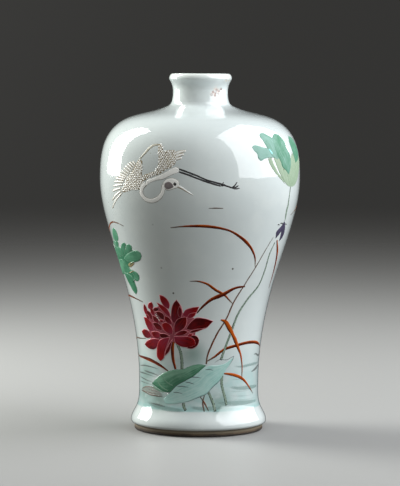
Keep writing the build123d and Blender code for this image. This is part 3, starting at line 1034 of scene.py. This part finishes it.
def paint(colour):
    """A colour as a socket takes it: another node's, a setting's, or one from a tuple of screen values."""
    if isinstance(colour, Wire):
        return colour
    return (*(linear(*colour) if isinstance(colour, tuple) else colour), 1)


def colour_property(name, description, screen):
    return FloatVectorProperty(
        name=name, description=description, default=linear(*screen), subtype="COLOR", min=0, max=1
    )


def length_property(name, description, default):
    return FloatProperty(name=name, description=description, default=default, unit="LENGTH", precision=5)


def angle_property(name, description, degrees):
    return FloatProperty(name=name, description=description, default=math.radians(degrees), subtype="ANGLE")


def power_property(name, default):
    return FloatProperty(name=name, description="In watts", default=default, min=0, unit="POWER")


def light_property(name, description, default):
    return FloatProperty(name=name, description=description, default=default, min=0)


class VaseStageSettings(bpy.types.PropertyGroup):
    """Where the vase is seen from, and its lights."""

    camera_distance: length_property("Camera distance", "From the axis of the vase to the camera", 1.95)
    camera_height: length_property("Camera height", "Above the floor", 0.3)
    camera_aside: length_property("Camera aside", "To the right of the axis", 0.0004)
    camera_tilt: angle_property("Tilt", "Downward tilt of the camera", 4.188)
    camera_roll: angle_property("Roll", "Roll of the camera", 0.35)
    lens: FloatProperty(name="Lens", description="Focal length in millimetres", default=171.47)
    left_power: power_property("Left softbox", 31.5)
    right_power: power_property("Right softbox", 44)
    above: light_property("Above", "Light of the room above", 0.05)
    ahead: light_property("Ahead", "Light of the room in front of the vase", 0.32)
    around: light_property("Around", "Least light of the room", 0.035)
    floor_radius: length_property("Floor radius", "Where the pale floor has faded away", 3.5)


class VaseGlazeSettings(bpy.types.PropertyGroup):
    """The glaze and the bare body."""

    glaze: colour_property("Glaze", "Glaze where it is of usual thickness", (202, 210, 209))
    # Glaze where it has run thick, and also painted as shade on the high shoulder
    pooled_and_shade: colour_property("Pooled glaze", "Glaze where it has run thick", (182, 190, 190))
    thin: colour_property("Thin glaze", "Glaze on edges", (224, 229, 224))
    wash: colour_property("Water wash", "Blue green wash of the water", (150, 186, 184))
    # The bare body's tan, darkened as painted shade under the foot's overhang
    clay_in_shade: colour_property("Bare body", "Unglazed body of the foot rim", (62, 52, 42))
    roughness: FloatProperty(name="Roughness", description="Of the glaze", default=0.07, min=0, max=1)
    ripple: length_property("Ripple", "Depth of the ripple in the glaze", 0.00006)


class VaseEnamelSettings(bpy.types.PropertyGroup):
    """The raised enamels."""

    rise: length_property("Rise", "How far the enamel stands proud", 0.00008)
    sink: length_property("Sink", "How far its edge is set into the glaze", 0.00003)
    bed: length_property("Bed", "How deep its back lies in the glaze", 0.00025)
    rim: length_property("Rim", "Width over which its edge rounds down", 0.00032)
    layer: length_property("Layer", "Added for each coat over another", 0.000025)
    iron: colour_property("Iron red", "Reeds", (174, 80, 14))
    rust: colour_property("Rust", "Reeds where the brush was full", (76, 18, 5))
    crimson: colour_property("Crimson", "Petals", (54, 1, 1))
    rose: colour_property("Rose", "Petals towards their root", (140, 44, 66))
    petal_line: colour_property("Petal line", "Outline of the petals", (214, 134, 142))
    green: colour_property("Green", "Leaves", (44, 108, 78))
    mint: colour_property("Mint", "Lobes of the furled leaf", (58, 117, 89))
    turquoise: colour_property("Turquoise", "Face of the low leaf", (128, 178, 170))
    pale: colour_property("Pale green", "Underside of the furled leaf", (128, 150, 124))
    purple: colour_property("Purple", "Bud", (42, 38, 54))
    white: colour_property("White", "Body of the crane", (248, 248, 244))
    feather_line: colour_property("Feather line", "Lines between the feathers", (100, 84, 60))
    stalk: colour_property("Stalk", "Grey green stalks", (140, 158, 142))
    ink: colour_property("Ink", "Black lines", (16, 16, 20))


def glaze_finish(settings, wall):
    """Glossy pale glaze, with a wash of water low on the wall, iron specks, and worn places high up."""
    recipe = Finish("pale_glaze", GLOSS)
    x, y, z = recipe.axes()
    up = z * MILLIMETRES
    turn = x.turn_from(y * -1)
    cloud = recipe.noise(9, 3)
    mottle = recipe.noise(55, 3)
    grain = recipe.noise(420, 2)
    colour = recipe.mix(cloud.ease(0.35, 0.7) * 0.5, settings.glaze, settings.pooled_and_shade)
    colour = recipe.mix(mottle.ease(0.45, 0.75) * 0.18, colour, settings.thin)
    # Darker round the neck's root and under the lip
    round_neck = up.band(*NECK_ROOT_BAND) + up.band(*UNDER_LIP_BAND)
    colour = recipe.mix(round_neck * 0.55, colour, settings.pooled_and_shade)
    # Painted shade: the high shoulder darkened towards the pooled glaze's colour
    colour = recipe.mix(up.band(*SHOULDER_SHADE_BAND), colour, settings.pooled_and_shade)
    lip_edge, margin = (up.ease(*heights) for heights in THIN_EDGES)
    colour = recipe.mix((lip_edge + margin) * 0.7, colour, settings.thin)

    streaks = recipe.noise(1, 4, recipe.vector(turn * 5, up * 0.16, 0.5))
    pools = recipe.noise(1, 3, recipe.vector(turn * 2.2, up * 0.05, 3.5))
    water = up.band(*WATER_BAND)
    strength = water * (streaks.ease(0.36, 0.66) * 0.6 + pools.ease(0.3, 0.7) * 0.55).at_most(1)
    strength = strength * (x.ease(50 * MM, -10 * MM) * 0.35 + 0.65)
    pooling = up.band(*WAIST_BAND)
    colour = recipe.mix((strength * 0.62 + pooling * 0.35 + 0.18 * water).at_most(1), colour, settings.wash)
    for pixel in DARKER_PATCHES:
        darker_patch = recipe.spot(wall.seen_at(pixel), DARKER_PATCH_RADIUS) * streaks.ease(0.2, 0.5)
        colour = recipe.mix(darker_patch * 0.8, colour, (122, 148, 140))

    dents = 0
    for radius, grit, shade, pixels in WORN_PLACES:
        for pixel in pixels:
            worn = recipe.spot(wall.seen_at(pixel), radius * MM) * grain.ease(*grit)
            colour = recipe.mix(worn, colour, shade)
            dents = dents + worn
    for strength, pixel in IRON_SPECKS:
        speck = recipe.spot(wall.seen_at(pixel), IRON_SPECK_RADIUS)
        colour = recipe.mix(speck.ease(0.1, 0.6) * strength, colour, (70, 64, 56))
    pits = recipe.node(
        "ShaderNodeTexVoronoi", {"feature": "F1"}, {"Vector": recipe.place, "Scale": 120}, "Distance"
    )
    pinholes = pits.ease(0.09, 0.02) * recipe.noise(30, 1).ease(0.62, 0.66)
    colour = recipe.mix(pinholes * 0.5, colour, (120, 108, 90))

    roughness = settings.roughness + grain * 0.03 + dents.at_most(1) * 0.4
    relief = cloud * 3 + mottle + grain * 0.06 - dents * 1.2 - pinholes * 0.6
    return recipe.made(colour, roughness, relief, settings.ripple)


def clay_finish(settings):
    """Bare fired body, tan and gritty, darkened as painted shade, with painted contact shadow towards the
    floor and a dark line where the glaze stopped.
    """
    recipe = Finish("bare_body", MATT)
    _, _, z = recipe.axes()
    up = z * MILLIMETRES
    cloud = recipe.noise(60, 4)
    grit = recipe.noise(900, 3)
    # The rim's tan, darkened as painted shade, clouded with a paler tan
    colour = recipe.mix(cloud.ease(0.35, 0.68), settings.clay_in_shade, (96, 80, 62))
    # A paler tan band, a dark line under the glaze, and painted contact shadow at the bottom
    for heights, shade in RIM_BANDS:
        colour = recipe.mix(up.ease(*heights) * 0.9, colour, shade)
    colour = recipe.mix(grit.ease(0.6, 0.72) * 0.25, colour, (150, 132, 106))
    return recipe.made(colour, 0.62 + grit * 0.3, grit + cloud * 2, CLAY_RELIEF)


def slip_finish():
    """Fired luting slip, matt, with finger marks."""
    recipe = Finish("luting_slip", MATT)
    cloud = recipe.noise(90, 3)
    grain = recipe.noise(700, 2)
    colour = recipe.mix(cloud.ease(0.35, 0.7), (226, 224, 216), (198, 192, 178))
    return recipe.made(colour, 0.55 + grain * 0.3, cloud * 2 + grain, SLIP_RELIEF)


def enamel_finish(name, coat, thin, full, line=None, line_width=0.0, root=None, hairs=None, streaks=26,
                  gloss=0.16, shine=ENAMEL_GLOSS, slant=0.0, wispy=None, veil=None, soft=0.9,
                  ends=(0.16, 0.16)):
    """Brushed enamel: thin to full along the brush's streaks, with a root, hairs and a drawn outline where
    they have a colour. A slant loads one side of the stroke, a wispy stroke thins out to the colour given
    where it is narrow, and a veil lets the glaze show through, most at its soft edges and ends."""

    def shade(colour):
        return getattr(coat, colour) if isinstance(colour, str) else colour

    recipe = Finish(name, shine)
    along = recipe.mark("along")
    across = recipe.mark("across")
    edge = recipe.mark("edge")
    tone = recipe.mark("tone")
    cloud = recipe.noise(140, 3)
    brush = recipe.noise(1, 3, recipe.vector(along * 2.5, across * streaks, tone * 9))
    load = (brush * 0.75 + cloud * 0.55 + tone * 0.5 + across * slant - 0.45 - slant / 2).ease(0.15, 0.75)
    colour = recipe.mix(load, shade(thin), shade(full))
    if root is not None:
        at_root = along.ease(0.3, 0.9) * brush.ease(0.25, 0.55) * tone.ease(1, 0.4)
        colour = recipe.mix(at_root, colour, shade(root))
    if hairs is not None:
        dots = recipe.noise(800, 1)
        colour = recipe.mix(dots.ease(0.47, 0.54) * edge.ease(0.9, 0.3), colour, shade(hairs))
    if line is not None:
        drawn = (edge + cloud * line_width * 0.5).ease(line_width * 1.25, line_width * 0.75)
        colour = recipe.mix(drawn * 0.92, colour, shade(line))
    alpha = None
    if wispy is not None:
        body = recipe.mark("breadth").ease(0.7, 2.1)
        colour = recipe.mix(1 - body, colour, shade(wispy))
        alpha = (body * 0.4 + brush * 0.6 + 0.3).at_most(1)
    if veil is not None:
        faded = edge.ease(0, soft) * along.ease(0, ends[0]) * along.ease(1, 1 - ends[1])
        alpha = faded * (brush * 0.7 + 0.5).at_most(1) * veil
    relief = brush * 0.6 + cloud + recipe.noise(900, 2) * 0.25
    return recipe.made(colour, gloss + cloud * 0.1, relief, ENAMEL_RELIEF, alpha)


class VaseOperator:
    """What the vase's operators share."""

    bl_options = {"REGISTER", "UNDO"}


class VASE_OT_stage(VaseOperator, bpy.types.Operator):
    """Set the camera, the softboxes and the pale floor"""

    bl_idname = "vase.stage"
    bl_label = "Stage"

    def execute(self, context):
        settings = context.scene.vase_stage
        camera = placed("camera", bpy.data.cameras.new("camera"))
        camera.data.lens = settings.lens
        camera.data.sensor_width = SENSOR_WIDTH
        camera.location = (settings.camera_aside, -settings.camera_distance, settings.camera_height)
        level = Matrix.Rotation(math.radians(90) - settings.camera_tilt, 4, "X")
        roll = Matrix.Rotation(settings.camera_roll, 4, "Z")
        camera.rotation_euler = (level @ roll).to_euler()
        context.scene.camera = camera
        context.scene.view_settings.view_transform = "Standard"
        context.view_layer.update()

        for (name, stand), power in zip(SOFTBOXES.items(), (settings.left_power, settings.right_power)):
            self.softbox(name, power, *stand)

        world = bpy.data.worlds.new("surround")
        recipe = Recipe(world, "Generated")
        x, y, z = recipe.axes()
        # Brightest in front, to the left and above
        ahead = (x * 0.7 + y * 0.45 - z * 0.5).ease(0.5, -0.9)
        light = z.ease(0, 1) * settings.above + ahead * settings.ahead + settings.around
        background = world.node_tree.nodes["Background"]
        recipe.feed(background.inputs["Strength"], light)
        recipe.feed(background.inputs["Color"], (*ROOM_TINT, 1))
        context.scene.world = world
        self.floor(settings.floor_radius)
        return {"FINISHED"}

    @staticmethod
    def softbox(name, power, bearing, away, turn, lean, size, tint):
        lamp = bpy.data.lights.new(name, "AREA")
        lamp.shape = "RECTANGLE"
        lamp.size, lamp.size_y = size
        lamp.energy = power
        lamp.color = tint
        light = placed(name, lamp)
        light.visible_camera = False
        bearing = math.radians(bearing)
        foot = Vector((math.sin(bearing), -math.cos(bearing), 0)) * away
        upright = Matrix.Rotation(math.radians(90 - lean), 3, "X")
        facing = Matrix.Rotation(math.radians(turn), 3, "Z") @ upright
        light.location = foot + Vector((0, 0, SOFTBOX_HEIGHT)) + facing @ Vector((0, size[1] / 2, 0))
        light.rotation_euler = facing.to_euler()

    @staticmethod
    def floor(radius):
        shell = bmesh.new()
        bmesh.ops.create_circle(shell, cap_ends=True, segments=FLOOR_SIDES, radius=radius)
        floor = placed_mesh("floor", shell)
        recipe = Finish("pale_floor")
        away = recipe.node("ShaderNodeVectorMath", {"operation": "LENGTH"}, {0: recipe.place}, "Value")
        fade = away.ease(radius, radius * FLOOR_WHOLE)
        floor.data.materials.append(recipe.made(FLOOR_COLOUR, FLOOR_ROUGHNESS, alpha=fade))
        floor.visible_diffuse = False
        floor.visible_glossy = False


class VASE_OT_glaze(VaseOperator, bpy.types.Operator):
    """Glaze the wall and the base, and leave the foot rim and the slip bare"""

    bl_idname = "vase.glaze"
    bl_label = "Glaze and bare body"

    def execute(self, context):
        settings = context.scene.vase_glaze
        finishes = {
            "glaze": glaze_finish(settings, Wall()),
            "bare_rim": clay_finish(settings),
            "slip": slip_finish(),
        }
        for part in frame["record"]["subparts"]:
            mesh = frame["nodes"][part["node"]].data
            mesh.materials.clear()
            mesh.materials.append(finishes[part["material_slot"]])
        return {"FINISHED"}


class VASE_OT_reeds(VaseOperator, bpy.types.Operator):
    """Paint the iron red reeds"""

    bl_idname = "vase.reeds"
    bl_label = "Reeds"

    def execute(self, context):
        painter = Painter(context)
        for index, (name, (tone, widths, course)) in enumerate(REEDS.items()):
            reed = painter.piece(name).stroke(course, widths, index % 3, tone, REED_ENDS.get(name))
            reed.finish("iron_red")
        return {"FINISHED"}


class VASE_OT_stalks(VaseOperator, bpy.types.Operator):
    """Paint the hairy grey green stalks"""

    bl_idname = "vase.stalks"
    bl_label = "Stalks"

    def execute(self, context):
        painter = Painter(context)
        for name, (widths, course) in STALKS.items():
            painter.piece(name).stroke(course, widths, level=1).finish("grey_green")
        return {"FINISHED"}


class VASE_OT_lotus(VaseOperator, bpy.types.Operator):
    """Paint the crimson lotus, its petals in three rows over a rose ground"""

    bl_idname = "vase.lotus"
    bl_label = "Lotus"

    def execute(self, context):
        painter = Painter(context)
        painter.piece("lotus_ground").petal(LOTUS_GROUND, level=-1).finish("rose_ground")
        for level, (name, outlines) in enumerate(LOTUS_ROWS.items(), start=1):
            row = painter.piece(name)
            for index, outline in enumerate(outlines):
                row.petal(outline, 2 * level + index % 2, varied(index, 0.2, 0.8), PETAL_GROWTH)
            row.finish("crimson")
        painter.piece("lotus_stamens").strokes(STAMENS, (0.2, 0.6, 0.3), level=8).finish("stamen_white")
        marks = painter.piece("lotus_stamen_marks").strokes(STAMEN_MARKS, (0.3, 0.5, 0.3), level=9)
        marks.finish("stamen_black")
        return {"FINISHED"}


class VASE_OT_low_leaf(VaseOperator, bpy.types.Operator):
    """Paint the lotus leaf lying on the water"""

    bl_idname = "vase.low_leaf"
    bl_label = "Low leaf"

    def execute(self, context):
        painter = Painter(context)
        painter.piece("low_leaf_back").between(LOW_LEAF_BACK, level=1, tone=0.6).finish("leaf_green")
        painter.piece("low_leaf_face").between(LOW_LEAF_FACE, level=2, tone=0.4).finish("turquoise")
        lines = painter.piece("low_leaf_pale_lines")
        lines.strokes(LOW_LEAF_PALE_LINES, (0.5, 1.7, 1.4, 0.5), level=3).finish("pale_line")
        veins = painter.piece("low_leaf_veins").strokes(LOW_LEAF_VEINS, (0.3, 0.7, 0.6, 0.1), level=4)
        veins.strokes(LOW_LEAF_LINES, (0.1, 0.3, 0.25, 0.3, 0.1), level=4).finish("grey_purple")
        return {"FINISHED"}


class VASE_OT_furled_leaf(VaseOperator, bpy.types.Operator):
    """Paint the furled leaf on the right shoulder and the bud under it"""

    bl_idname = "vase.furled_leaf"
    bl_label = "Furled leaf and bud"

    def execute(self, context):
        painter = Painter(context)
        folds = painter.piece("furled_leaf_underside").between(FURLED_BOWL, level=0, tone=0.4)
        for index, edges in enumerate(FURLED_FOLDS):
            folds.between(edges, level=1 + index % 2, tone=0.3 + 0.1 * index)
        folds.finish("pale_green")
        lobes = painter.piece("furled_leaf_lobes")
        for index, (tone, *edges) in enumerate(FURLED_LOBES):
            lobes.between(edges, level=3 + index, tone=tone)
        lobes.finish("mint")
        # A bright turquoise spot, a painted highlight on the lobe
        shine = painter.piece("furled_leaf_turquoise_highlight").stroke(FURLED_SHINE, (0.6, 1.8, 2.2, 0.9), level=6)
        shine.finish("bright_turquoise")
        bud = painter.piece("bud_petals")
        for edges in BUD_PETALS:
            bud.between(edges, level=2)
        bud.finish("purple")
        painter.piece("bud_hairs").strokes(BUD_HAIRS, (0.4, 0.7, 0.2), level=3).finish("hair")
        return {"FINISHED"}


class VASE_OT_side_leaf(VaseOperator, bpy.types.Operator):
    """Paint the lobed leaf that goes round the left side"""

    bl_idname = "vase.side_leaf"
    bl_label = "Side leaf"

    @staticmethod
    def turned(points, far):
        """The points, or on the leaf's far half, which hangs lower, the ones that answer to them."""
        away = points[:, 0] - LEFT_MIDRIB
        turned = np.column_stack([LEFT_MIDRIB - away * FAR_HALF_WIDTH, points[:, 1] - away * FAR_HALF_DROP])
        return turned if far else points

    def execute(self, context):
        painter = Painter(context)
        wall = painter.wall
        ground = painter.piece("side_leaf_ground")
        leaf = painter.piece("side_leaf_lobes")
        for far, grounds, lobes in ((False, LEFT_GROUND, LEFT_LOBES), (True, FAR_GROUND, LEFT_LOBES[1:-1])):
            left, right = (self.turned(wall.strike(edge), far) for edge in grounds)
            ground.patch(*wall.paired(left, right), level=0, tone=0.9)
            for index, outline in enumerate(lobes):
                halves = wall.halves(self.turned(wall.strike(outline), far), PETAL_GROWTH)
                leaf.patch(*halves, level=1 + index % 3, tone=varied(index, 0.35, 0.5))
        ground.finish("deep_leaf")
        leaf.finish("deep_leaf")
        withered = painter.piece("side_leaf_withered").petal(LEFT_WITHERED, level=3)
        withered.stroke(LEFT_BROWN_LINE, (0.4, 0.7, 0.4), level=4).finish("withered")
        return {"FINISHED"}


class VASE_OT_crane(VaseOperator, bpy.types.Operator):
    """Paint the flying crane"""

    bl_idname = "vase.crane"
    bl_label = "Crane"

    def execute(self, context):
        painter = Painter(context)
        for name, finish, level, extra in (
            ("crane_outline", "crane_outline", 0, 0.5), ("crane_body", "crane_white", 2, 0.0),
        ):
            body = painter.piece(name).petal(CRANE_BODY, level + 1, 0.7, extra * MM / 2)
            body.stroke(CRANE_NECK, [width + extra for width in CRANE_NECK_WIDTHS], level, 0.7)
            body.petal(CRANE_HEAD, level + 1, 0.7, extra * MM / 2).finish(finish)
        painter.piece("crane_beak").stroke(CRANE_BEAK, (1.3, 1.0, 0.6, 0.1), level=3).finish("crane_white")
        painter.piece("crane_face").petal(CRANE_CHEEK, level=5).finish("cheek")
        legs = painter.piece("crane_legs").strokes(CRANE_LEGS, (1.1, 1.1, 1.0, 1.2, 1.0), level=1)
        legs.strokes(CRANE_TOES, (0.9, 0.8, 0.3), level=2).petal(CRANE_EYE, level=6).finish("ink")

        grounds = painter.piece("crane_feather_ground")
        for outline in (LEFT_COVERTS, RIGHT_COVERTS, COVERT_STRIP):
            grounds.petal(outline, grow=COVERT_GROWTH)
        for name, finish, level, extra in (
            ("crane_feather_lines", "feather_line", 1, 0.5), ("crane_feathers", "crane_white", 3, -0.1),
        ):
            feathers = painter.piece(name)
            widths = [width + extra for width in WING_FEATHER_WIDTHS]
            for root, tip, bend in zip(WING_ROOTS, WING_TIPS, WING_BENDS):
                feathers.stroke((root, np.mean((root, tip), axis=0) - (bend, bend), tip), widths, level)
            feathers.strokes(CRANE_TAIL, [width + extra for width in CRANE_TAIL_WIDTHS], level)
            feathers.finish(finish)
        grounds.stroke(CRANE_BEAK_UNDER, (0.5, 0.4, 0.1), level=2).finish("feather_line")

        coverts = painter.piece("crane_coverts")
        for outline, lead in zip((LEFT_COVERTS, RIGHT_COVERTS, COVERT_STRIP), COVERT_LEADS):
            coverts.scales(outline, lead, COVERT_PITCH, COVERT_LENGTH, level=2)
        coverts.finish("crane_white")
        bones = painter.piece("crane_wing_bones").stroke(LEADING_EDGE, (0.8, 1.5, 1.9, 1.9, 1.2), level=1)
        bones.finish("wing_bone")
        return {"FINISHED"}


class VASE_OT_water(VaseOperator, bpy.types.Operator):
    """Lay the thin grey and blue washes of the water"""

    bl_idname = "vase.water"
    bl_label = "Water"

    def execute(self, context):
        painter = Painter(context)
        painter.piece("curled_leaf").between(CURLED_LEAF, tone=0.4).finish("grey_leaf")
        outlines = painter.piece("curled_leaf_lines")
        for widths, course in CURLED_LEAF_LINES:
            outlines.stroke(course, widths, level=1)
        outlines.finish("umber_line")
        strokes = painter.piece("water_grey_strokes")
        for index, (widths, course) in enumerate(WATER_STROKES):
            breadths = [width * GREY_STROKE_BREADTH for width in widths]
            strokes.stroke(course, breadths, tone=WATER_TONES[index % len(WATER_TONES)])
        strokes.finish("grey_wash")
        bands = painter.piece("water_blue_bands")
        for index, (widths, course) in enumerate(WATER_BANDS):
            bands.stroke(course, widths, tone=WATER_TONES[index % len(WATER_TONES)])
        bands.strokes(WATER_LINES, (0.4, 1.0, 0.4), tone=0.6).finish("blue_wash")
        return {"FINISHED"}


class VASE_PT_panel(bpy.types.Panel):
    """The vase's operators and settings"""

    bl_label = "Painted vase"
    bl_space_type = "VIEW_3D"
    bl_region_type = "UI"
    bl_category = "Vase"

    def draw(self, context):
        for operator in OPERATORS:
            self.layout.operator(operator.bl_idname)
        for name, group in SETTINGS.items():
            for setting in group.__annotations__:
                self.layout.prop(getattr(context.scene, name), setting)


SETTINGS = {
    "vase_stage": VaseStageSettings,
    "vase_glaze": VaseGlazeSettings,
    "vase_enamel": VaseEnamelSettings,
}
OPERATORS = (
    VASE_OT_stage, VASE_OT_glaze, VASE_OT_water, VASE_OT_reeds, VASE_OT_stalks, VASE_OT_lotus,
    VASE_OT_low_leaf, VASE_OT_furled_leaf, VASE_OT_side_leaf, VASE_OT_crane,
)


def register():
    for group in (*SETTINGS.values(), *OPERATORS, VASE_PT_panel):
        bpy.utils.register_class(group)
    for name, group in SETTINGS.items():
        setattr(bpy.types.Scene, name, PointerProperty(type=group))


def unregister():
    for name in SETTINGS:
        delattr(bpy.types.Scene, name)
    for group in (VASE_PT_panel, *reversed(OPERATORS), *reversed(SETTINGS.values())):
        bpy.utils.unregister_class(group)


def main():
    register()
    for operator in OPERATORS:
        group, name = operator.bl_idname.split(".")
        getattr(getattr(bpy.ops, group), name)()


if __name__ == "__main__":
    main()
